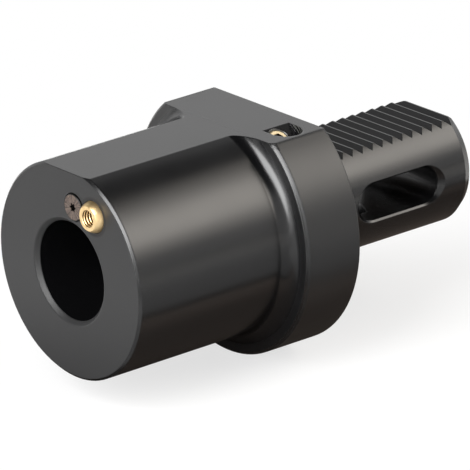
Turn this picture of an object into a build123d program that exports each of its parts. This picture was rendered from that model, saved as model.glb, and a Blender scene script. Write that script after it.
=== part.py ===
from build123d import *
import os
from math import cos, radians, sin, sqrt, tan

# Turret tool holder: toothed cylindrical shank, round flange and a head with a taper socket.
# Millimetres. Y is the tool axis, from the front face at the low end to the shank's end at the
# high end. The toothing and the long flat face +Z. The origin lies on the tool axis, in the
# plane of the flange's seating face.

# Turned outline
shank_d = 40.0
shank_beyond_slot = 13.0  # from the drift slot to the shank's end
shank_lead_len = 3.0  # tapered lead at the shank's end
shank_lead_angle = 30.0
flange_step = 7.5  # flange over the head, on the radius
flange_len = 20.5
flange_front_chamfer = 1.0
flange_rear_chamfer = 0.3
head_d = 68.0
head_len = 58.5
head_chamfer = 0.8
head_root_fillet = 4.6
flat_height = 32.15  # from the tool axis to the flat on head and flange
seam_clock = 217.5  # where the turned faces start: low on the far side, clear of slot and teeth

# Toothing of the shank, all in the plane through the tool axis
crest_height = 16.0  # from the tool axis to the crests
tooth_pitch = 4.0
tooth_depth = 1.6
tooth_land = 0.5  # flat left on each crest
tooth_thrust_run = 1.6  # length of the steeper flank, which faces the flange
tooth_reference = 29.7  # seating face to the middle of a steeper flank
toothing_start = 9.0  # seating face to the crest plane's low end

# Self-holding taper socket, size 4
gauge_d = 31.267  # at the front face
taper_per_mm = 0.051938  # change of diameter for each millimetre of depth
socket_depth = 107.0
socket_mouth_chamfer = 1.25
socket_mouth_edge = 0.2  # where the chamfer meets the front face
drill_point_angle = 118.0
drift_slot_lap = 9.0  # the slot starts this far before the socket's end
drift_slot_len = 32.0
drift_slot_width = 12.0
drift_slot_sink = 0.75  # depth of the countersunk mouth at the slot's straight sides

# Coolant nozzle: a ball with a threaded bore, in a seat in the front face
nozzle_clock = 32.0  # angle about the tool axis, from +Z towards +X
nozzle_pitch_radius = 24.6
ball_d = 10.0
ball_depth = 1.05  # front face to the ball's centre
ball_front_flat = 3.2  # ball's centre to its front flat
ball_rear_flat = 4.2
ball_bore_d = 5.0
ball_bore_chamfer = 0.3
seat_clearance = 0.05  # radial, ball in its seat
seal_id = 7.0
seal_section = 1.5
seal_sides = 6  # flats that stand for the round section
seal_clearance = 0.05  # ball to its seal, with the clamp screw slack

# Countersunk clamp screw beside the nozzle
screw_d = 4.0
screw_len = 9.0
screw_head_d = 8.4
screw_head_rise = 0.4  # head above the front face
screw_rim_len = 0.7  # cylindrical rim of the head
screw_rim_chamfer = 0.15
screw_sink_clearance = 0.35  # head in its countersink
screw_angle = 4.0  # from the nozzle to the screw, above the line along -X
clamp_clearance = 0.1  # rim of the head to the ball, with the screw slack
lobe_circle_d = 2.8  # across the tips of the six-lobe recess
lobe_root_d = 2.0
lobe_d = 0.62
recess_depth = 1.4
thread_clearance = 0.05  # radial, any screw in its hole

# Coolant channels and the plug that closes the cross drilling
channel_d = 4.5
inlet_d = 6.0
inlet_pitch_radius = 28.0
inlet_chamfer = 0.6
cross_clock = 31.0  # the cross drilling's angle about the tool axis, from +Z towards +X
plug_place = -11.1  # the cross drilling's place along the tool axis
channel_past_cross = 3.5  # channels end this far past the cross drilling's axis
cross_end_radius = 22.8  # where the cross drilling ends, from the tool axis
plug_d = 6.0
plug_len = 4.0
plug_sink = 0.2  # plug below the pocket's floor
plug_hole_len = 5.2
plug_chamfer = 0.4
plug_hex = 3.0  # across flats
plug_hex_turn = 30.0
plug_hex_depth = 2.2

# Milled pocket round the plug, square to the cross drilling
pocket_floor_radius = 35.1  # from the tool axis
pocket_width = 10.2
pocket_middle = -9.7  # along the tool axis
pocket_inset = -0.16  # from the cross drilling's axis to the cutter's last place
pocket_reach = 9.0  # length of the cutter's straight path

# Shank seal in the seating face
shank_seal_section = 3.0
shank_seal_sides = 8  # flats that stand for the round section
shank_seal_rise = 0.5  # ring above the seating face
shank_seal_clearance = 0.2  # radial, outside the ring
shank_relief = 0.4  # groove below the shank, on the radius, where the grinding wheel runs out

# Worked out from the sizes above
over = 5.0  # cutting shapes run this far past the faces that they open
touch = 0.001
shank_r = shank_d / 2
head_r = head_d / 2
flange_r = head_r + flange_step
front_y = -(flange_len + head_len)
gauge_r = gauge_d / 2
socket_end_y = front_y + socket_depth
socket_end_r = gauge_r - socket_depth * taper_per_mm / 2
socket_point_len = socket_end_r / tan(radians(drill_point_angle / 2))
drift_slot_middle = socket_end_y - drift_slot_lap + drift_slot_len / 2
drift_slot_sink_x = sqrt(shank_r**2 - (drift_slot_width / 2) ** 2) - drift_slot_sink
shank_len = drift_slot_middle + drift_slot_len / 2 + shank_beyond_slot

ball_r = ball_d / 2
ball_y = front_y + ball_depth
seat_r = ball_r + seat_clearance
seal_r = seal_section / 2
seal_mid_r = seal_id / 2 + seal_r
seal_behind_ball = sqrt((ball_r + seal_r + seal_clearance) ** 2 - seal_mid_r**2)
seat_depth = ball_depth + seal_behind_ball + seal_r
nozzle_x = nozzle_pitch_radius * sin(radians(nozzle_clock))
nozzle_z = nozzle_pitch_radius * cos(radians(nozzle_clock))

screw_r = screw_d / 2
screw_head_r = screw_head_d / 2
sink_r = screw_head_r + screw_sink_clearance
rim_low = screw_rim_len - screw_head_rise  # depth of the rim's lower edge
ball_r_at_rim = sqrt(ball_r**2 - (ball_depth - rim_low) ** 2)
screw_spacing = screw_head_r + ball_r_at_rim + clamp_clearance
screw_x = nozzle_x - screw_spacing * cos(radians(screw_angle))
screw_z = nozzle_z + screw_spacing * sin(radians(screw_angle))
screw_tip = screw_len - screw_head_rise  # depth of the screw's end

shank_seal_r = shank_seal_section / 2
shank_seal_y = shank_seal_rise - shank_seal_r
shank_groove_inner_r = shank_r - shank_relief
shank_groove_r = shank_r + shank_seal_section + shank_seal_clearance
shank_groove_depth = shank_seal_section - shank_seal_rise


def facing_front(x, z, y=front_y):
    """Plane square to the tool axis, with its normal out of the front face."""
    return Plane(origin=(x, y, z), x_dir=(1, 0, 0), z_dir=(0, -1, 0))


def turning_plane(x, z, y=front_y):
    """Plane along the tool axis, for half sections: its Y runs out of the front face."""
    return Plane(origin=(x, y, z), x_dir=(1, 0, 0), z_dir=(0, 0, -1))


def turning_axis(x, z):
    """Axis parallel to the tool axis."""
    return Axis((x, 0, z), (0, -1, 0))


def rim(part, radius, y):
    """Circular edges of a part about the tool axis, of one radius and at one place along it."""
    return part.edges().filter_by(
        lambda edge: edge.geom_type == GeomType.CIRCLE
        and abs(edge.radius - radius) < touch
        and abs(edge.arc_center.Y - y) < touch
    )


# Half plane through the tool axis: its X runs outwards, its Y along the axis
turned_half = Plane(
    origin=(0, 0, 0),
    x_dir=(sin(radians(seam_clock)), 0, cos(radians(seam_clock))),
    z_dir=(-cos(radians(seam_clock)), 0, sin(radians(seam_clock))),
)

# Plane of the pocket's floor, with its origin on the cross drilling's axis
pocket_floor = Plane(
    origin=(
        pocket_floor_radius * sin(radians(cross_clock)),
        plug_place,
        pocket_floor_radius * cos(radians(cross_clock)),
    ),
    x_dir=(cos(radians(cross_clock)), 0, -sin(radians(cross_clock))),
    z_dir=(sin(radians(cross_clock)), 0, cos(radians(cross_clock))),
)

# Body, turned from one bar
with BuildPart() as holder_body:
    with BuildSketch(turned_half) as turned_outline:
        with BuildLine():
            Polyline(
                (0, front_y),
                (head_r, front_y),
                (head_r, -flange_len),
                (flange_r, -flange_len),
                (flange_r, 0),
                (shank_r, 0),
                (shank_r, shank_len - shank_lead_len),
                (shank_r - shank_lead_len * tan(radians(shank_lead_angle)), shank_len),
                (0, shank_len),
                close=True,
            )
        make_face()
    revolve(axis=turning_axis(0, 0))
    fillet(rim(holder_body.part, head_r, -flange_len), head_root_fillet)
    chamfer(rim(holder_body.part, head_r, front_y), head_chamfer)
    chamfer(rim(holder_body.part, flange_r, -flange_len), flange_front_chamfer)
    chamfer(rim(holder_body.part, flange_r, 0), flange_rear_chamfer)

    # Groove for the shank seal
    with BuildSketch(turned_half) as seal_groove:
        with Locations((shank_groove_inner_r, -shank_groove_depth)):
            Rectangle(
                shank_groove_r - shank_groove_inner_r,
                shank_groove_depth,
                align=(Align.MIN, Align.MIN),
            )
    revolve(axis=turning_axis(0, 0), mode=Mode.SUBTRACT)

    # Long flat on head and flange
    with BuildSketch(Plane.XY.offset(flat_height)) as flat_outline:
        with Locations((0, over)):
            Rectangle(2 * flange_r, over - front_y + over, align=(Align.CENTER, Align.MAX))
    extrude(amount=flange_r, mode=Mode.SUBTRACT)

    # Taper socket with its drilled point
    with BuildSketch(turned_half) as socket_outline:
        with BuildLine():
            Polyline(
                (0, front_y),
                (gauge_r + socket_mouth_chamfer, front_y),
                (gauge_r - socket_mouth_chamfer * taper_per_mm / 2, front_y + socket_mouth_chamfer),
                (socket_end_r, socket_end_y),
                (0, socket_end_y + socket_point_len),
                close=True,
            )
        make_face()
    revolve(axis=turning_axis(0, 0), mode=Mode.SUBTRACT)
    chamfer(rim(holder_body.part, gauge_r + socket_mouth_chamfer, front_y), socket_mouth_edge)

    # Slot for the drift that ejects the tool
    with BuildSketch(Plane.YZ) as drift_slot:
        with Locations((drift_slot_middle, 0)):
            SlotOverall(drift_slot_len, drift_slot_width)
    extrude(amount=shank_r + over, both=True, mode=Mode.SUBTRACT)
    # Its mouths are countersunk to one depth, so that they widen round the slot's ends
    for side in (Plane.YZ, -Plane.YZ):
        with BuildSketch(side.offset(drift_slot_sink_x)) as slot_mouth:
            with Locations((drift_slot_middle, 0)):
                SlotOverall(drift_slot_len, drift_slot_width)
        extrude(amount=over, taper=-45, mode=Mode.SUBTRACT)

    # Toothing: a milled flat with sharp grooves across it
    with BuildSketch(Plane.YZ) as toothing:
        with BuildLine():
            Polyline(
                (toothing_start, crest_height),
                (shank_len + over, crest_height),
                (shank_len + over, shank_r + over),
                (toothing_start - (shank_r + over - crest_height), shank_r + over),
                close=True,
            )
        make_face()
        groove_low_point = tooth_reference - tooth_thrust_run / 2
        groove_back_run = tooth_pitch - tooth_land - tooth_thrust_run
        first_groove = -int((groove_low_point - groove_back_run - toothing_start) // tooth_pitch)
        last_groove = int((shank_len - groove_low_point + groove_back_run) // tooth_pitch)
        groove_places = [
            (groove_low_point + turn * tooth_pitch, crest_height)
            for turn in range(first_groove, last_groove + 1)
        ]
        with Locations(*groove_places):
            Polygon((-groove_back_run, 0), (0, -tooth_depth), (tooth_thrust_run, 0))
    extrude(amount=shank_r, both=True, mode=Mode.SUBTRACT)

    # Nozzle seat, and the channel behind it
    with Locations(facing_front(nozzle_x, nozzle_z)):
        Hole(seat_r, seat_depth)
        Hole(channel_d / 2, plug_place + channel_past_cross - front_y)

    # Clamp screw's countersink and hole
    with Locations(facing_front(screw_x, screw_z)):
        CounterSinkHole(screw_r + thread_clearance, sink_r, screw_tip, counter_sink_angle=90)

    # Coolant inlet in the seating face
    with Locations(
        Plane(
            origin=(
                inlet_pitch_radius * sin(radians(nozzle_clock)),
                0,
                inlet_pitch_radius * cos(radians(nozzle_clock)),
            ),
            x_dir=(1, 0, 0),
            z_dir=(0, 1, 0),
        )
    ):
        CounterSinkHole(
            inlet_d / 2,
            inlet_d / 2 + inlet_chamfer,
            channel_past_cross - plug_place,
            counter_sink_angle=90,
        )

    # Pocket, and the cross drilling from its floor
    with BuildSketch(pocket_floor) as pocket_outline:
        with Locations((pocket_inset, pocket_middle - plug_place)):
            Circle(pocket_width / 2)
            Rectangle(pocket_reach, pocket_width, align=(Align.MAX, Align.CENTER))
    extrude(amount=pocket_width, mode=Mode.SUBTRACT)
    with Locations(pocket_floor):
        Hole(channel_d / 2, pocket_floor_radius - cross_end_radius)
        CounterSinkHole(
            plug_d / 2 + thread_clearance,
            plug_d / 2 + plug_chamfer,
            plug_hole_len,
            counter_sink_angle=90,
        )
holder_body.part.label = "holder_body"

# Coolant nozzle: a turned ball with a flat at each end of its bore
with BuildPart() as nozzle_ball:
    with BuildSketch(turning_plane(nozzle_x, nozzle_z, ball_y)) as ball_section:
        bore_r = ball_bore_d / 2
        front_land_r = sqrt(ball_r**2 - ball_front_flat**2)
        rear_land_r = sqrt(ball_r**2 - ball_rear_flat**2)
        with BuildLine():
            ball_skin = ThreePointArc(
                (front_land_r, ball_front_flat), (ball_r, 0), (rear_land_r, -ball_rear_flat)
            )
            Polyline(
                ball_skin @ 1,
                (bore_r, -ball_rear_flat),
                (bore_r, ball_front_flat - ball_bore_chamfer),
                (bore_r + ball_bore_chamfer, ball_front_flat),
                ball_skin @ 0,
            )
        make_face()
    revolve(axis=turning_axis(nozzle_x, nozzle_z))
nozzle_ball.part.label = "nozzle_ball"

# Seal ring behind the ball
with BuildPart() as nozzle_seal:
    with BuildSketch(turning_plane(nozzle_x, nozzle_z, ball_y)) as nozzle_seal_section:
        with Locations((seal_mid_r, -seal_behind_ball)):
            RegularPolygon(seal_r, seal_sides)
    revolve(axis=turning_axis(nozzle_x, nozzle_z))
nozzle_seal.part.label = "nozzle_seal"

# Countersunk clamp screw with a six-lobe recess
with BuildPart() as nozzle_clamp_screw:
    with BuildSketch(turning_plane(screw_x, screw_z)) as screw_section:
        with BuildLine():
            Polyline(
                (0, screw_head_rise),
                (screw_head_r - screw_rim_chamfer, screw_head_rise),
                (screw_head_r, screw_head_rise - screw_rim_chamfer),
                (screw_head_r, -rim_low),
                (screw_r, -rim_low - (screw_head_r - screw_r)),
                (screw_r, -screw_tip + screw_rim_chamfer),
                (screw_r - screw_rim_chamfer, -screw_tip),
                (0, -screw_tip),
                close=True,
            )
        make_face()
    revolve(axis=turning_axis(screw_x, screw_z))
    with BuildSketch(facing_front(screw_x, screw_z, front_y - screw_head_rise)) as recess:
        Circle(lobe_root_d / 2)
        with PolarLocations((lobe_circle_d - lobe_d) / 2, 6):
            Circle(lobe_d / 2)
    extrude(amount=-recess_depth, mode=Mode.SUBTRACT)
nozzle_clamp_screw.part.label = "nozzle_clamp_screw"

# Threaded plug that closes the cross drilling
plug_face = pocket_floor.offset(-plug_sink)
with BuildPart() as coolant_plug:
    with BuildSketch(plug_face) as plug_outline:
        Circle(plug_d / 2)
    extrude(amount=-plug_len)
    chamfer(coolant_plug.edges().filter_by(GeomType.CIRCLE), plug_chamfer)
    with BuildSketch(plug_face) as plug_socket:
        RegularPolygon(plug_hex / 2, 6, major_radius=False, rotation=plug_hex_turn)
    extrude(amount=-plug_hex_depth, mode=Mode.SUBTRACT)
coolant_plug.part.label = "coolant_plug"

# Seal ring round the foot of the shank
with BuildPart() as shank_seal:
    with BuildSketch(turned_half) as shank_seal_outline:
        with Locations((shank_r + shank_seal_r, shank_seal_y)):
            RegularPolygon(shank_seal_r, shank_seal_sides)
    revolve(axis=turning_axis(0, 0))
shank_seal.part.label = "shank_seal"

os.makedirs("parts", exist_ok=True)
export_step(holder_body.part, "parts/holder_body.step")
export_step(nozzle_ball.part, "parts/nozzle_ball.step")
export_step(nozzle_seal.part, "parts/nozzle_seal.step")
export_step(nozzle_clamp_screw.part, "parts/nozzle_clamp_screw.step")
export_step(coolant_plug.part, "parts/coolant_plug.step")
export_step(shank_seal.part, "parts/shank_seal.step")
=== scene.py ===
from math import cos, pi, radians, sin, tau

import bpy
import numpy as np
from mathutils import Matrix, Vector


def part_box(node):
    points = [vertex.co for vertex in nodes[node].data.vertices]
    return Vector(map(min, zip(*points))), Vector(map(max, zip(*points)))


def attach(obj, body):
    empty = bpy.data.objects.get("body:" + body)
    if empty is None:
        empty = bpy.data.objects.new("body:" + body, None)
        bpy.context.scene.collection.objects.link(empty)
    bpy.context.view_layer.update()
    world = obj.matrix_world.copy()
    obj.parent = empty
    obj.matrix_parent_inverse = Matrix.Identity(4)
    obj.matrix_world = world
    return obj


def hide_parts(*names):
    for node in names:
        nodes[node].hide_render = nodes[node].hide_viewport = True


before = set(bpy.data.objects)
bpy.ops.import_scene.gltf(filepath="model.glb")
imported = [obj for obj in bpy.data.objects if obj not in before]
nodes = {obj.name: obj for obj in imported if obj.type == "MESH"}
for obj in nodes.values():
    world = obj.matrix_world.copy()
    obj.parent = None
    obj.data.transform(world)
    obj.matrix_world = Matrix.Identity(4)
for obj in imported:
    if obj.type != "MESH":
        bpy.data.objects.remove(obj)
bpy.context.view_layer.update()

# Looks of a turret tool holder. Metres in the part's own frame: Y is the tool axis, from the
# front face at the low end to the shank's end, and the toothing and the long flat face +Z.
MM = 0.001
FAR = 1.0  # beyond any place on the part


# Places and sizes, read from the frame where it has them

def span(node, axis):
    """Lowest and highest coordinate of a node along one axis, 0 to 2 for X to Z."""
    lowest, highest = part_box(node)
    return lowest[axis], highest[axis]


def middle(node):
    """Middle of a node's box."""
    lowest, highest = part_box(node)
    return (lowest + highest) / 2


FRONT_Y, SHANK_END_Y = span("holder_body", 1)
FLAT_Z = span("holder_body", 2)[1]
FLANGE_R = -span("holder_body", 2)[0]
FLANGE_FRONT_Y = -20.5 * MM
SEATING_Y = 0.0
SHANK_R = 20 * MM
CREST_Z = 16 * MM  # crests of the toothing
TOOTH_DEPTH = 1.6 * MM
MOUTH_R, MOUTH_DEPTH = 17 * MM, 1.4 * MM  # just past the chamfer of the socket's mouth
TOOL_AXIS = Vector((0, 1, 0))

PLUG_AXIS = Vector((middle("coolant_plug").x, 0, middle("coolant_plug").z)).normalized()
PLUG_LENGTH = 4 * MM
PLUG_FACE = middle("coolant_plug") + PLUG_AXIS * PLUG_LENGTH / 2

BALL_RADIUS = (span("nozzle_ball", 0)[1] - span("nozzle_ball", 0)[0]) / 2
BALL_FRONT = 3.2 * MM  # from the ball's centre to its front land
BALL_REAR = 4.2 * MM
BALL_CENTRE = Vector((
    middle("nozzle_ball").x, span("nozzle_ball", 1)[0] + BALL_FRONT, middle("nozzle_ball").z
))


# Small helpers for meshes

def grid_faces(rows, columns):
    """Quads of a grid of points that closes on itself both ways, as on a ring."""
    row, column = np.meshgrid(np.arange(rows), np.arange(columns), indexing="ij")
    next_row, next_column = (row + 1) % rows, (column + 1) % columns
    corners = (
        row * columns + column,
        row * columns + next_column,
        next_row * columns + next_column,
        next_row * columns + column,
    )
    return np.stack(corners, axis=-1).reshape(-1, 4)


def turned(radius, along, centre):
    """Points of a turned shape. Row by row a closed outline of radius r and place a, column by
    column the angle t round an axis parallel to Y: x = cx + r sin t, y = cy + a, z = cz + r cos t.
    The outline runs towards +Y on the outside, so that the faces point outwards."""
    radius, along = np.broadcast_arrays(radius, along)
    turn = np.arange(radius.shape[1]) / radius.shape[1] * tau
    return np.stack(
        (
            centre.x + radius * np.sin(turn),
            centre.y + along,
            centre.z + radius * np.cos(turn),
        ),
        axis=-1,
    )


def turned_piece(name, points, material, body, crease_degrees):
    """An object from a closed grid of points, smooth apart from its creases, riding on a body."""
    mesh = bpy.data.meshes.new(name)
    faces = grid_faces(*points.shape[:2])
    mesh.from_pydata(points.reshape(-1, 3).tolist(), [], faces.tolist())
    mesh.polygons.foreach_set("use_smooth", np.ones(len(faces), bool))
    mesh.set_sharp_from_angle(angle=radians(crease_degrees))
    mesh.materials.append(material)
    piece = bpy.data.objects.new(name, mesh)
    bpy.context.scene.collection.objects.link(piece)
    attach(piece, body)
    return piece


# Small helpers for materials

def linear(code):
    """Linear red, green, blue and alpha of an sRGB hex code."""
    channels = np.array([int(code[start:start + 2], 16) for start in (1, 3, 5)]) / 255
    low, high = channels / 12.92, ((channels + 0.055) / 1.055) ** 2.4
    return (*np.where(channels <= 0.04045, low, high), 1.0)


def add_node(tree, kind, settings=None, **inputs):
    """One shader node. Each input is a value, or a socket to link from; underscores stand for
    blanks, and a number after one picks the input by its place."""
    node = tree.nodes.new(kind)
    for name, value in (settings or {}).items():
        setattr(node, name, value)
    for name, value in inputs.items():
        key = int(name[1:]) if name[1:].isdigit() else name.replace("_", " ")
        socket = node.inputs[key]
        if isinstance(value, bpy.types.NodeSocket):
            tree.links.new(value, socket)
        else:
            socket.default_value = value
    return node


def new_material(name):
    """An empty node material and its tree."""
    material = bpy.data.materials.new(name)
    material.use_nodes = True
    material.node_tree.nodes.clear()
    return material, material.node_tree


def finish_material(tree, shader):
    """Links a shader to the material's output."""
    output = tree.nodes.new("ShaderNodeOutputMaterial")
    tree.links.new(shader.outputs[0], output.inputs["Surface"])


def lathe_places(tree, place, centre, axis):
    """Two lengths for marks of turning about an axis: how far along it, and how far out from it."""
    offset = add_node(
        tree, "ShaderNodeVectorMath", {"operation": "SUBTRACT"}, _0=place, _1=centre
    ).outputs[0]
    along = add_node(
        tree, "ShaderNodeVectorMath", {"operation": "DOT_PRODUCT"}, _0=offset, _1=axis
    ).outputs["Value"]
    outwards = add_node(
        tree, "ShaderNodeVectorMath", {"operation": "CROSS_PRODUCT"}, _0=offset, _1=axis
    ).outputs[0]
    out = add_node(
        tree, "ShaderNodeVectorMath", {"operation": "LENGTH"}, _0=outwards
    ).outputs["Value"]
    return along, out


def tool_marks(tree, length, spacing):
    """Uneven fine lines left by a tool, one for each spacing of a length, between 0 and 1."""
    wobble = add_node(
        tree, "ShaderNodeTexNoise", {"noise_dimensions": "1D"},
        W=length, Scale=1 / spacing, Detail=2.0, Roughness=0.6,
    ).outputs[0]
    return add_node(
        tree, "ShaderNodeMapRange", Value=wobble, From_Min=0.3, From_Max=0.7
    ).outputs[0]


def band(tree, value, lowest, highest, blur):
    """1 where a value lies between two limits, falling to 0 over a short blur at each."""
    width, centre = (highest - lowest) / 2, (highest + lowest) / 2
    away = add_node(tree, "ShaderNodeMath", {"operation": "SUBTRACT"}, _0=value, _1=centre)
    away = add_node(tree, "ShaderNodeMath", {"operation": "ABSOLUTE"}, _0=away.outputs[0])
    return add_node(
        tree, "ShaderNodeMapRange", Value=away.outputs[0],
        From_Min=width + blur / 2, From_Max=width - blur / 2,
    ).outputs[0]


def region(tree, *limits):
    """1 where each of several values lies in its own band, whose value, limits and blur are given
    together."""
    inside = 1.0
    for limit in limits:
        inside = add_node(
            tree, "ShaderNodeMath", {"operation": "MULTIPLY"}, _0=inside, _1=band(tree, *limit)
        ).outputs[0]
    return inside


# Blackened steel

def machining_marks(tree, axes, along, out, faced, in_pocket, pass_lines):
    """Heights of the marks that turning and milling left on the steel, between 0 and 1."""
    # Rings on faces square to the axis, hoops on the cylinders. The feed was near 0.1 mm, drawn
    # as 0.5 mm so that it shows.
    feed = 0.5 * MM
    turning = add_node(
        tree, "ShaderNodeMix",
        Factor=faced, _2=tool_marks(tree, along, feed), _3=tool_marks(tree, out, feed),
    ).outputs[0]

    # Face mill on the long flat: arcs of the cutter's radius, one for each tooth's feed
    cutter_radius, tooth_feed, flat_skin = 50 * MM, 0.8 * MM, 0.02 * MM
    squared = add_node(
        tree, "ShaderNodeMath", {"operation": "MULTIPLY"}, _0=axes["X"], _1=axes["X"]
    ).outputs[0]
    inside = add_node(
        tree, "ShaderNodeMath", {"operation": "SUBTRACT"}, _0=cutter_radius**2, _1=squared
    ).outputs[0]
    reach = add_node(tree, "ShaderNodeMath", {"operation": "SQRT"}, _0=inside).outputs[0]
    arc = add_node(
        tree, "ShaderNodeMath", {"operation": "SUBTRACT"}, _0=axes["Y"], _1=reach
    ).outputs[0]
    on_flat = band(tree, axes["Z"], FLAT_Z - flat_skin, FLAT_Z + flat_skin, flat_skin / 2)
    marks = add_node(
        tree, "ShaderNodeMix", Factor=on_flat, _2=turning, _3=tool_marks(tree, arc, tooth_feed)
    ).outputs[0]
    return add_node(
        tree, "ShaderNodeMix", Factor=in_pocket, _2=marks, _3=pass_lines
    ).outputs[0]


def broken_edges(tree, axes, along):
    """Normals of the steel with its edges broken: by 0.5 mm on head and flange, by 1 mm more
    where the long flat meets the flange's rim, and by 0.12 mm on the shank with its teeth."""
    on_shank = band(tree, along, SEATING_Y + 1 * MM, FAR, 1 * MM)
    break_width = add_node(
        tree, "ShaderNodeMapRange", Value=on_shank, To_Min=0.5 * MM, To_Max=0.12 * MM
    ).outputs[0]
    aside = add_node(tree, "ShaderNodeMath", {"operation": "ABSOLUTE"}, _0=axes["X"]).outputs[0]
    # The long flat meets the rim 26.2 mm to each side of the axis
    at_flat_end = region(
        tree,
        (aside, 24.8 * MM, 29 * MM, 0.2 * MM),
        (axes["Z"], FLAT_Z - 1.5 * MM, FLAT_Z + 1.5 * MM, 0.2 * MM),
    )
    break_width = add_node(
        tree, "ShaderNodeMath", {"operation": "MULTIPLY_ADD"},
        _0=at_flat_end, _1=1 * MM, _2=break_width,
    ).outputs[0]
    return add_node(tree, "ShaderNodeBevel", {"samples": 6}, Radius=break_width).outputs[0]


def blackened_steel():
    """Oil-blackened tool steel, turned, milled and ground: a thin black oxide over a satin surface,
    so that it mirrors its surroundings softly and turns brighter at a glancing angle."""
    material, tree = new_material("blackened_tool_steel")
    place = add_node(tree, "ShaderNodeTexCoord").outputs["Object"]
    axes = add_node(tree, "ShaderNodeSeparateXYZ", Vector=place).outputs
    along, out = lathe_places(tree, place, (0, 0, 0), TOOL_AXIS)
    edges = broken_edges(tree, axes, along)

    # Where each kind of surface lies
    face_skin = 0.06 * MM
    faced = 0.0
    for face_y in (FRONT_Y, FLANGE_FRONT_Y, SEATING_Y, SHANK_END_Y):
        near_face = band(tree, along, face_y - face_skin, face_y + face_skin, face_skin / 3)
        faced = add_node(
            tree, "ShaderNodeMath", {"operation": "MAXIMUM"}, _0=faced, _1=near_face
        ).outputs[0]
    on_rim = band(tree, out, FLANGE_R - 0.5 * MM, FLANGE_R + 0.5 * MM, 0.2 * MM)
    from_plug = add_node(
        tree, "ShaderNodeVectorMath", {"operation": "DISTANCE"}, _0=place, _1=PLUG_FACE
    ).outputs["Value"]
    in_pocket = region(
        tree,
        (from_plug, 0, 12 * MM, 0.5 * MM),
        (axes["Z"], 0, FLAT_Z - face_skin, face_skin / 3),
        (out, 0, FLANGE_R - 0.1 * MM, 0.04 * MM),
        (along, FLANGE_FRONT_Y + 1.5 * MM, SEATING_Y, 0.04 * MM),
    )
    at_mouth = region(
        tree,
        (along, FRONT_Y + 0.1 * MM, FRONT_Y + MOUTH_DEPTH, 0.1 * MM),
        (out, 0, MOUTH_R, 0.1 * MM),
    )
    on_flanks = region(
        tree,
        (axes["Z"], CREST_Z - TOOTH_DEPTH - 0.2 * MM, CREST_Z - 0.1 * MM, 0.1 * MM),
        (out, 0, SHANK_R - 0.1 * MM, 0.05 * MM),
        (along, SEATING_Y + 5 * MM, SHANK_END_Y + 1 * MM, 1 * MM),
    )
    from_ball = add_node(
        tree, "ShaderNodeVectorMath", {"operation": "DISTANCE"}, _0=place, _1=BALL_CENTRE
    ).outputs["Value"]
    round_nozzle = band(tree, from_ball, 0, 6.2 * MM, 0.8 * MM)
    facing = add_node(tree, "ShaderNodeNewGeometry").outputs["True Normal"]
    straightness = add_node(
        tree, "ShaderNodeVectorMath", {"operation": "DOT_PRODUCT"}, _0=edges, _1=facing
    ).outputs["Value"]
    near_edge = add_node(
        tree, "ShaderNodeMapRange", Value=straightness, From_Min=0.995, From_Max=0.97
    ).outputs[0]
    filed = add_node(
        tree, "ShaderNodeMath", {"operation": "MULTIPLY"},
        _0=near_edge, _1=band(tree, axes["Z"], FLAT_Z - 0.6 * MM, FLAT_Z + 0.6 * MM, 0.2 * MM),
    ).outputs[0]

    # Blotches of the oxide bath, a few centimetres across, hardly to be seen. In the pocket each
    # pass of the end mill, 1 mm further along the plug's axis, left a line, and some are bright.
    blotch = add_node(
        tree, "ShaderNodeTexNoise", Vector=place, Scale=1 / (30 * MM), Detail=3.0, Roughness=0.6
    ).outputs[0]
    tone = add_node(
        tree, "ShaderNodeMix", {"data_type": "RGBA"}, Factor=blotch,
        _6=linear("#070708"), _7=linear("#0b0b0c"),
    ).outputs[2]
    depth = add_node(
        tree, "ShaderNodeVectorMath", {"operation": "DOT_PRODUCT"}, _0=place, _1=PLUG_AXIS
    ).outputs["Value"]
    pass_lines = tool_marks(tree, depth, 1 * MM)
    bright_lines = add_node(
        tree, "ShaderNodeMapRange", Value=pass_lines, From_Min=0.6, From_Max=0.75
    ).outputs[0]
    bright_pass = add_node(
        tree, "ShaderNodeMath", {"operation": "MULTIPLY"}, _0=bright_lines, _1=in_pocket
    ).outputs[0]
    tone = add_node(
        tree, "ShaderNodeMix", {"data_type": "RGBA"}, Factor=bright_pass,
        _6=tone, _7=linear("#4c4c49"),
    ).outputs[2]

    # The ground shank and head are the smoothest. Turned rim and faces, milled tooth flanks and
    # the chamfer at the socket's mouth are rougher, and coolant has dulled the steel round the
    # nozzle the most. The file left the long flat's edges a little smoother.
    roughness = add_node(
        tree, "ShaderNodeMapRange", Value=blotch,
        From_Min=0.3, From_Max=0.7, To_Min=0.21, To_Max=0.25,
    ).outputs[0]
    turned_coarse = add_node(
        tree, "ShaderNodeMath", {"operation": "MAXIMUM"}, _0=on_rim, _1=faced
    ).outputs[0]
    for where, more in (
        (turned_coarse, 0.13), (at_mouth, 0.3), (on_flanks, 0.16), (round_nozzle, 0.45),
        (filed, -0.05),
    ):
        roughness = add_node(
            tree, "ShaderNodeMath", {"operation": "MULTIPLY_ADD"}, _0=where, _1=more, _2=roughness
        ).outputs[0]

    # The marks are deepest on the flange's rim
    marks = machining_marks(tree, axes, along, out, faced, in_pocket, pass_lines)
    depth_of_marks = add_node(
        tree, "ShaderNodeMapRange", Value=on_rim, To_Min=0.5, To_Max=1.0
    ).outputs[0]
    relief = add_node(
        tree, "ShaderNodeMath", {"operation": "MULTIPLY"}, _0=marks, _1=depth_of_marks
    ).outputs[0]
    bump = add_node(
        tree, "ShaderNodeBump", Strength=0.35, Distance=0.004 * MM, Height=relief, Normal=edges
    ).outputs[0]
    shader = add_node(
        tree, "ShaderNodeBsdfPrincipled", Base_Color=tone, Roughness=roughness, Normal=bump
    )
    finish_material(tree, shader)
    return material


# The other materials

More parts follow.
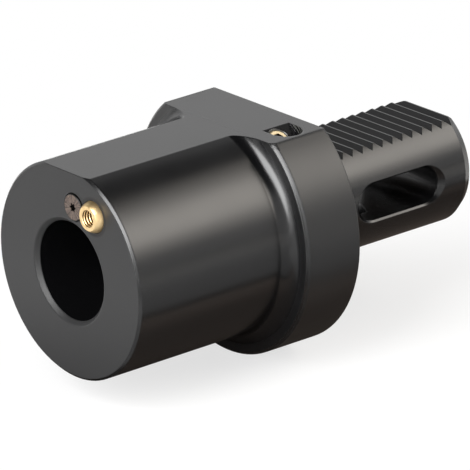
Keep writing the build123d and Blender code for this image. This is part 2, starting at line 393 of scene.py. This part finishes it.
def turned_brass(name, centre, axis, recess_shade, tones, roughness):
    """Free-cutting brass, turned bright: pale yellow metal with fine hoops from the tool, and
    slightly deeper in colour where it has begun to tarnish. Painted shade darkens it to brown
    between two radii, below a height along the axis: in the roots of a thread or in a key recess."""
    shade_from, shade_to, shade_below = recess_shade
    pale, deep = tones
    material, tree = new_material(name)
    place = add_node(tree, "ShaderNodeTexCoord").outputs["Object"]
    along, out = lathe_places(tree, place, centre, axis)
    tarnish = add_node(
        tree, "ShaderNodeTexNoise", Vector=place, Scale=1 / (3 * MM), Detail=3.0, Roughness=0.6
    ).outputs[0]
    tone = add_node(
        tree, "ShaderNodeMix", {"data_type": "RGBA"}, Factor=tarnish,
        _6=linear(pale), _7=linear(deep),
    ).outputs[2]
    # Painted shade: dark brown in the roots of a thread or in a key recess
    shaded_recess = region(
        tree,
        (out, shade_from, shade_to, 0.1 * MM),
        (along, -FAR, shade_below, 0.1 * MM),
    )
    tone = add_node(
        tree, "ShaderNodeMix", {"data_type": "RGBA"}, Factor=shaded_recess,
        _6=tone, _7=linear("#462b12"),
    ).outputs[2]
    hoop_spacing = 0.3 * MM
    hoops = add_node(
        tree, "ShaderNodeMath", {"operation": "ADD"},
        _0=tool_marks(tree, along, hoop_spacing), _1=tool_marks(tree, out, hoop_spacing),
    ).outputs[0]
    bump = add_node(
        tree, "ShaderNodeBump", Strength=0.4, Distance=0.004 * MM, Height=hoops
    ).outputs[0]
    shader = add_node(
        tree, "ShaderNodeBsdfPrincipled",
        Base_Color=tone, Metallic=1.0, Roughness=roughness, Normal=bump,
    )
    finish_material(tree, shader)
    return material


def phosphated_steel(centre, face_y, head_radius):
    """Manganese-phosphated screw: brownish grey and matt, rubbed paler on its face, with fine
    crystals and the radial streaks of its forged head. Recess and rim are painted near black as
    painted shade."""
    material, tree = new_material("phosphated_steel")
    place = add_node(tree, "ShaderNodeTexCoord").outputs["Object"]
    offset = add_node(
        tree, "ShaderNodeVectorMath", {"operation": "SUBTRACT"}, _0=place, _1=centre
    ).outputs[0]
    axes = add_node(tree, "ShaderNodeSeparateXYZ", Vector=offset).outputs
    along, out = lathe_places(tree, place, centre, TOOL_AXIS)
    clock = add_node(
        tree, "ShaderNodeMath", {"operation": "ARCTAN2"}, _0=axes["X"], _1=axes["Z"]
    ).outputs[0]
    streaks = tool_marks(tree, clock, tau / 40)
    crystals = add_node(
        tree, "ShaderNodeTexNoise", Vector=place, Scale=1 / (0.35 * MM), Detail=2.0, Roughness=0.7
    ).outputs[0]
    grain = add_node(tree, "ShaderNodeMix", Factor=0.65, _2=streaks, _3=crystals).outputs[0]
    spread = add_node(
        tree, "ShaderNodeMapRange", Value=grain, From_Min=0.35, From_Max=0.65
    ).outputs[0]
    rubbed = add_node(
        tree, "ShaderNodeMix", {"data_type": "RGBA"}, Factor=spread,
        _6=linear("#1c1613"), _7=linear("#6b5c53"),
    ).outputs[2]
    depth = add_node(
        tree, "ShaderNodeMath", {"operation": "SUBTRACT"}, _0=along, _1=face_y - centre.y
    ).outputs[0]
    on_face = region(
        tree,
        (depth, -0.2 * MM, 0.06 * MM, 0.05 * MM),
        (out, -head_radius, head_radius - 0.25 * MM, 0.08 * MM),
    )
    # Painted shade: off the face, the recess and the rim are painted near black
    tone = add_node(
        tree, "ShaderNodeMix", {"data_type": "RGBA"}, Factor=on_face,
        _6=linear("#0c0a09"), _7=rubbed,
    ).outputs[2]
    bump = add_node(
        tree, "ShaderNodeBump", Strength=0.6, Distance=0.02 * MM, Height=grain
    ).outputs[0]
    shader = add_node(
        tree, "ShaderNodeBsdfPrincipled",
        Base_Color=tone, Metallic=0.5, Roughness=0.42, Normal=bump,
    )
    finish_material(tree, shader)
    return material


def nitrile_rubber():
    """Moulded nitrile rubber: black and matt, with a faint skin from the mould."""
    material, tree = new_material("nitrile_rubber")
    place = add_node(tree, "ShaderNodeTexCoord").outputs["Object"]
    skin = add_node(
        tree, "ShaderNodeTexNoise", Vector=place, Scale=1 / (0.6 * MM), Detail=3.0, Roughness=0.6
    ).outputs[0]
    tone = add_node(
        tree, "ShaderNodeMix", {"data_type": "RGBA"}, Factor=skin,
        _6=linear("#161616"), _7=linear("#222221"),
    ).outputs[2]
    bump = add_node(
        tree, "ShaderNodeBump", Strength=0.3, Distance=0.02 * MM, Height=skin
    ).outputs[0]
    shader = add_node(
        tree, "ShaderNodeBsdfPrincipled", Base_Color=tone, Roughness=0.55, Normal=bump
    )
    finish_material(tree, shader)
    return material


# The ball gets painted shade in the roots of its thread, and the plug in its key recess
ball_brass = turned_brass(
    "turned_brass_ball", BALL_CENTRE, -TOOL_AXIS,
    recess_shade=(2.66 * MM, 3.1 * MM, BALL_FRONT - 0.25 * MM), tones=("#efd6a8", "#dcb97e"),
    roughness=0.42,
)
plug_brass = turned_brass(
    "turned_brass_plug", PLUG_FACE, PLUG_AXIS,
    recess_shade=(-2.0 * MM, 2.0 * MM, -0.1 * MM), tones=("#fdf1d4", "#f2dcae"),
    roughness=0.6,
)
phosphate = phosphated_steel(
    middle("nozzle_clamp_screw"), span("nozzle_clamp_screw", 1)[0],
    (span("nozzle_clamp_screw", 0)[1] - span("nozzle_clamp_screw", 0)[0]) / 2,
)
rubber = nitrile_rubber()


def dress(node, material):
    """Gives a CAD node its finish."""
    for slot in nodes[node].material_slots:
        slot.material = material


dress("holder_body", blackened_steel())
dress("coolant_plug", plug_brass)
dress("nozzle_clamp_screw", phosphate)


# Nozzle ball with its thread

def threaded_ball():
    """Turned ball with a land at each end of its bore, and an M6 thread in the bore. The outline
    follows the sphere, r = sqrt(R^2 - a^2), then the rear land, the bore back to the front, its
    chamfer and the front land. In the bore the radius grows by depth (1 - cos 2 pi w) / 2, where
    w = a / pitch - t / turn makes the helix, and the wave fades out before the rear land."""
    crest_radius, thread_depth, pitch = 2.5 * MM, 0.42 * MM, 1.0 * MM
    chamfer = 0.25 * MM
    thread_end, fade = 1.4 * MM, 0.8 * MM
    columns, skin_rows, bore_rows = 128, 49, 141

    skin_along = np.linspace(-BALL_FRONT, BALL_REAR, skin_rows)
    skin_radius = np.sqrt(BALL_RADIUS**2 - skin_along**2)
    rear_radius = np.linspace(skin_radius[-1], crest_radius, 4)[1:-1]
    bore_along = np.linspace(BALL_REAR, -BALL_FRONT + chamfer, bore_rows)
    mouth_along = np.linspace(-BALL_FRONT + chamfer, -BALL_FRONT, 5)[1:]
    mouth_radius = crest_radius + (-BALL_FRONT + chamfer - mouth_along)
    land_steps = np.linspace(0, 1, 8)[1:-1]

    turn = np.arange(columns) / columns
    groove = (1 - np.cos((bore_along[:, None] / pitch - turn) * tau)) / 2
    fading = np.clip((thread_end - bore_along) / fade, 0, 1)[:, None]
    bore_radius = crest_radius + thread_depth * groove * fading

    # Near the mouth the groove runs out into the chamfer
    mouth_groove = (1 - np.cos((mouth_along[:, None] / pitch - turn) * tau)) / 2
    closing = ((mouth_along + BALL_FRONT) / chamfer)[:, None]
    mouth_rows = np.maximum(
        mouth_radius[:, None], crest_radius + thread_depth * mouth_groove * closing
    )
    land_rows = mouth_rows[-1] + (skin_radius[0] - mouth_rows[-1]) * land_steps[:, None]

    def even(radius):
        return np.repeat(radius[:, None], columns, axis=1)

    radius = np.concatenate(
        (even(skin_radius), even(rear_radius), bore_radius, mouth_rows, land_rows)
    )
    along = np.concatenate(
        (
            skin_along, np.full(len(rear_radius), BALL_REAR), bore_along, mouth_along,
            np.full(len(land_steps), -BALL_FRONT),
        )
    )[:, None]
    return turned(radius, along, BALL_CENTRE)


threaded_nozzle = turned_piece(
    "threaded_nozzle", threaded_ball(), ball_brass, "nozzle", 40
)
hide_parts("nozzle_ball")


# Seal rings

def round_ring(node):
    """Round ring that fills a node's box: r = R + c cos s, a = c sin s, for s round the cord."""
    cord_points, ring_points = 32, 128
    lowest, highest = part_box(node)
    cord_radius = (highest.y - lowest.y) / 2
    ring_radius = (highest.x - lowest.x) / 2 - cord_radius
    around = (np.arange(cord_points) / cord_points * tau)[:, None]
    radius = np.repeat(ring_radius + cord_radius * np.cos(around), ring_points, axis=1)
    return turned(radius, cord_radius * np.sin(around), middle(node))


for node, piece_name in (("shank_seal", "shank_seal_ring"), ("nozzle_seal", "nozzle_seal_ring")):
    ring = turned_piece(piece_name, round_ring(node), rubber, "holder", 60)
    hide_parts(node)


# Stage: a pale floor under the flange, and soft light

FLOOR_GAP = 1 * MM
FLOOR_SIZE = 8.0
WHITE = linear("#ffffff")


def stage_plane(name, lowest, highest, height, material):
    """Level sheet of the stage between two corners."""
    corners = [
        (lowest[0], lowest[1], height), (highest[0], lowest[1], height),
        (highest[0], highest[1], height), (lowest[0], highest[1], height),
    ]
    mesh = bpy.data.meshes.new(name)
    mesh.from_pydata(corners, [], [(0, 1, 2, 3)])
    mesh.materials.append(material)
    sheet = bpy.data.objects.new(name, mesh)
    bpy.context.scene.collection.objects.link(sheet)
    return sheet


def stage_floor():
    """Pale floor, just under the part. Near the part it keeps a soft shadow, and further out the
    camera sees it as white as the backdrop."""
    material, tree = new_material("pale_floor")
    place = add_node(tree, "ShaderNodeTexCoord").outputs["Object"]
    distance = add_node(
        tree, "ShaderNodeVectorMath", {"operation": "LENGTH"}, _0=place
    ).outputs["Value"]
    far = add_node(
        tree, "ShaderNodeMapRange", {"interpolation_type": "SMOOTHSTEP"}, Value=distance,
        From_Min=60 * MM, From_Max=160 * MM, To_Min=0.7, To_Max=1.0,
    ).outputs[0]
    seen = add_node(tree, "ShaderNodeLightPath").outputs["Is Camera Ray"]
    white_share = add_node(
        tree, "ShaderNodeMath", {"operation": "MULTIPLY"}, _0=far, _1=seen
    ).outputs[0]
    lit = add_node(tree, "ShaderNodeBsdfDiffuse", Color=linear("#f2f2f2")).outputs[0]
    white = add_node(tree, "ShaderNodeEmission", Color=WHITE, Strength=1.0).outputs[0]
    finish_material(
        tree, add_node(tree, "ShaderNodeMixShader", _0=white_share, _1=lit, _2=white)
    )
    half = FLOOR_SIZE / 2
    stage_plane("floor", (-half, -half), (half, half), -FLANGE_R - FLOOR_GAP, material)


def stage_card():
    """Card that only reflections see, under the part: a glowing sheet with the light and shade of a
    brown table painted in. Its painted shadow is darkest below the head, and it is lighter towards
    its thin dark edge on the +X side. Beyond that edge it has no colour and grows paler outwards.
    Before the front face it has no colour either, is painted darker near the part, and is brightest
    along an arc about the part."""
    dark_edge, edge_width, pale_end = 73 * MM, 8 * MM, 250 * MM
    arc_radius, arc_blur = 170 * MM, 60 * MM
    material, tree = new_material("painted_table_reflection")
    place = add_node(tree, "ShaderNodeTexCoord").outputs["Object"]
    axes = add_node(tree, "ShaderNodeSeparateXYZ", Vector=place).outputs

    # Brown part, under head and shank, with a painted shadow darkest below the head
    right_of_head = add_node(
        tree, "ShaderNodeMapRange", Value=axes["X"],
        From_Min=5 * MM, From_Max=45 * MM, To_Min=0.03, To_Max=0.20,
    ).outputs[0]
    left_of_head = add_node(
        tree, "ShaderNodeMapRange", Value=axes["X"],
        From_Min=-15 * MM, From_Max=-45 * MM, To_Min=0.03, To_Max=0.6,
    ).outputs[0]
    under_head = add_node(
        tree, "ShaderNodeMath", {"operation": "MAXIMUM"}, _0=right_of_head, _1=left_of_head
    ).outputs[0]
    under_shank = add_node(
        tree, "ShaderNodeMapRange", Value=axes["X"],
        From_Min=-10 * MM, From_Max=30 * MM, To_Min=0.13, To_Max=0.19,
    ).outputs[0]
    rearwards = add_node(
        tree, "ShaderNodeMapRange", Value=axes["Y"], From_Min=5 * MM, From_Max=30 * MM
    ).outputs[0]
    glow = add_node(
        tree, "ShaderNodeMix", Factor=rearwards, _2=under_head, _3=under_shank
    ).outputs[0]
    lightening = add_node(
        tree, "ShaderNodeMapRange", Value=axes["X"],
        From_Min=45 * MM, From_Max=dark_edge - edge_width, To_Max=0.42,
    ).outputs[0]
    glow = add_node(
        tree, "ShaderNodeMath", {"operation": "ADD"}, _0=glow, _1=lightening
    ).outputs[0]
    # Painted thin dark line along the table's edge
    table_edge = band(tree, axes["X"], dark_edge - edge_width, dark_edge + 1 * MM, 2 * MM)
    glow = add_node(
        tree, "ShaderNodeMath", {"operation": "MULTIPLY_ADD"}, _0=table_edge, _1=-0.6, _2=glow
    ).outputs[0]
    brown = add_node(
        tree, "ShaderNodeEmission", Color=linear("#ffeadb"), Strength=glow
    ).outputs[0]

    # Pale part beyond the dark edge
    paling = add_node(
        tree, "ShaderNodeMapRange", Value=axes["X"],
        From_Min=dark_edge, From_Max=pale_end, To_Min=0.58, To_Max=1.05,
    ).outputs[0]
    pale = add_node(tree, "ShaderNodeEmission", Color=WHITE, Strength=paling).outputs[0]
    beyond = add_node(
        tree, "ShaderNodeMath", {"operation": "GREATER_THAN"}, _0=axes["X"], _1=dark_edge
    ).outputs[0]
    table = add_node(
        tree, "ShaderNodeMixShader", _0=beyond, _1=brown, _2=pale
    ).outputs[0]

    # Colourless part before the front face, with painted shade near the part
    distance = add_node(
        tree, "ShaderNodeVectorMath", {"operation": "LENGTH"}, _0=place
    ).outputs["Value"]
    off_arc = add_node(
        tree, "ShaderNodeMath", {"operation": "SUBTRACT"}, _0=distance, _1=arc_radius
    ).outputs[0]
    off_arc = add_node(
        tree, "ShaderNodeMath", {"operation": "ABSOLUTE"}, _0=off_arc
    ).outputs[0]
    greying = add_node(
        tree, "ShaderNodeMapRange", Value=off_arc, From_Max=arc_blur, To_Min=1.5, To_Max=0.7
    ).outputs[0]
    grey = add_node(tree, "ShaderNodeEmission", Color=WHITE, Strength=greying).outputs[0]
    before = add_node(
        tree, "ShaderNodeMath", {"operation": "LESS_THAN"}, _0=axes["Y"], _1=FRONT_Y - 5 * MM
    ).outputs[0]
    finish_material(
        tree, add_node(tree, "ShaderNodeMixShader", _0=before, _1=table, _2=grey)
    )
    card = stage_plane(
        "painted_table_reflection", (-150 * MM, -350 * MM), (pale_end, 150 * MM),
        -FLANGE_R - 0.6 * FLOOR_GAP, material,
    )
    for ray in ("camera", "diffuse", "transmission", "volume_scatter", "shadow"):
        setattr(card, f"visible_{ray}", False)


def stage_world():
    """White studio. The camera sees white. The metal mirrors white too, with a black ceiling that
    starts some 37 degrees up at the sides, 25 in front of the part and 48 behind it. What lights
    the part is an even plain white."""
    ceiling_lean = (0, -0.2, 1)
    ceiling_edge, ceiling_full = 0.605, 0.66  # heights along the lean
    world = bpy.data.worlds.new("studio")
    bpy.context.scene.world = world
    world.use_nodes = True
    tree = world.node_tree
    tree.nodes.clear()
    direction = add_node(tree, "ShaderNodeTexCoord").outputs["Generated"]
    height = add_node(
        tree, "ShaderNodeVectorMath", {"operation": "DOT_PRODUCT"}, _0=direction, _1=ceiling_lean
    ).outputs["Value"]
    brightness = add_node(
        tree, "ShaderNodeMapRange", {"interpolation_type": "SMOOTHSTEP"}, Value=height,
        From_Min=ceiling_edge, From_Max=ceiling_full, To_Min=1.0, To_Max=0.0,
    ).outputs[0]
    rays = add_node(tree, "ShaderNodeLightPath").outputs
    mirrored = add_node(
        tree, "ShaderNodeMath", {"operation": "MAXIMUM"},
        _0=rays["Is Glossy Ray"], _1=rays["Is Transmission Ray"],
    ).outputs[0]
    plain = add_node(tree, "ShaderNodeBackground", Color=WHITE, Strength=0.3).outputs[0]
    seen = add_node(tree, "ShaderNodeBackground", Color=WHITE, Strength=1.0).outputs[0]
    shown = add_node(tree, "ShaderNodeBackground", Color=WHITE, Strength=brightness).outputs[0]
    on_part = add_node(
        tree, "ShaderNodeMixShader", _0=mirrored, _1=plain, _2=shown
    ).outputs[0]
    both = add_node(
        tree, "ShaderNodeMixShader", _0=rays["Is Camera Ray"], _1=on_part, _2=seen
    ).outputs[0]
    output = add_node(tree, "ShaderNodeOutputWorld")
    tree.links.new(both, output.inputs["Surface"])


def softbox(name, azimuth, elevation, roll, distance, width, height, radiance, colour):
    """Area light that faces the part, turned by its roll. Azimuth 0 stands in front, at low Y,
    and 90 on the +X side. A sheet of area A and radiance L gives off pi A L watts."""
    light = bpy.data.lights.new(name, "AREA")
    light.shape = "RECTANGLE"
    light.size = width
    light.size_y = height
    light.energy = pi * width * height * radiance
    light.color = linear(colour)[:3]
    lamp = bpy.data.objects.new(name, light)
    towards = Vector((
        sin(radians(azimuth)) * cos(radians(elevation)),
        -cos(radians(azimuth)) * cos(radians(elevation)),
        sin(radians(elevation)),
    ))
    lamp.matrix_world = (
        Matrix.Translation(towards * distance)
        @ towards.to_track_quat("Z", "Y").to_matrix().to_4x4()
        @ Matrix.Rotation(radians(roll), 4, "Z")
    )
    bpy.context.scene.collection.objects.link(lamp)


def stage_camera():
    """The photograph's view: a long lens that looks past the origin, with a slight roll."""
    azimuth, elevation, roll = radians(51.289), radians(20.597), radians(-2.052)
    distance, aim_right, aim_up = 2.0627, 0.011391, 0.008642
    pixels_per_mm, frame_pixels, sensor = 3.275, 470, 36.0
    right = Vector((cos(azimuth), sin(azimuth), 0))
    back = Vector((sin(azimuth) * cos(elevation), -cos(azimuth) * cos(elevation), sin(elevation)))
    up = back.cross(right)
    right, up = right * cos(roll) + up * sin(roll), up * cos(roll) - right * sin(roll)
    camera = bpy.data.cameras.new("camera")
    camera.sensor_width = sensor
    camera.lens = pixels_per_mm * distance / MM / frame_pixels * sensor
    camera.clip_start, camera.clip_end = 0.1, 100.0
    stand = bpy.data.objects.new("camera", camera)
    turn = Matrix((right, up, back)).transposed().to_4x4()
    stand_at = distance * back - aim_right * right - aim_up * up
    stand.matrix_world = Matrix.Translation(stand_at) @ turn
    bpy.context.scene.collection.objects.link(stand)
    bpy.context.scene.camera = stand


stage_floor()
stage_card()
stage_world()
softbox(
    "front_softbox", azimuth=14, elevation=28, roll=0, distance=1.2,
    width=0.70, height=1.15, radiance=12.0, colour="#ffffff",
)
# The side lamp is a bright sheet just before a wider, dimmer one, so that its edge is soft
from_side = {"azimuth": 137, "elevation": 36, "roll": 20, "colour": "#fff8ee"}
softbox("side_softbox", distance=1.19, width=1.00, height=0.33, radiance=3.5, **from_side)
softbox("side_softbox_edge", distance=1.2, width=1.20, height=0.66, radiance=1.9, **from_side)
stage_camera()
bpy.context.scene.view_settings.view_transform = "Standard"
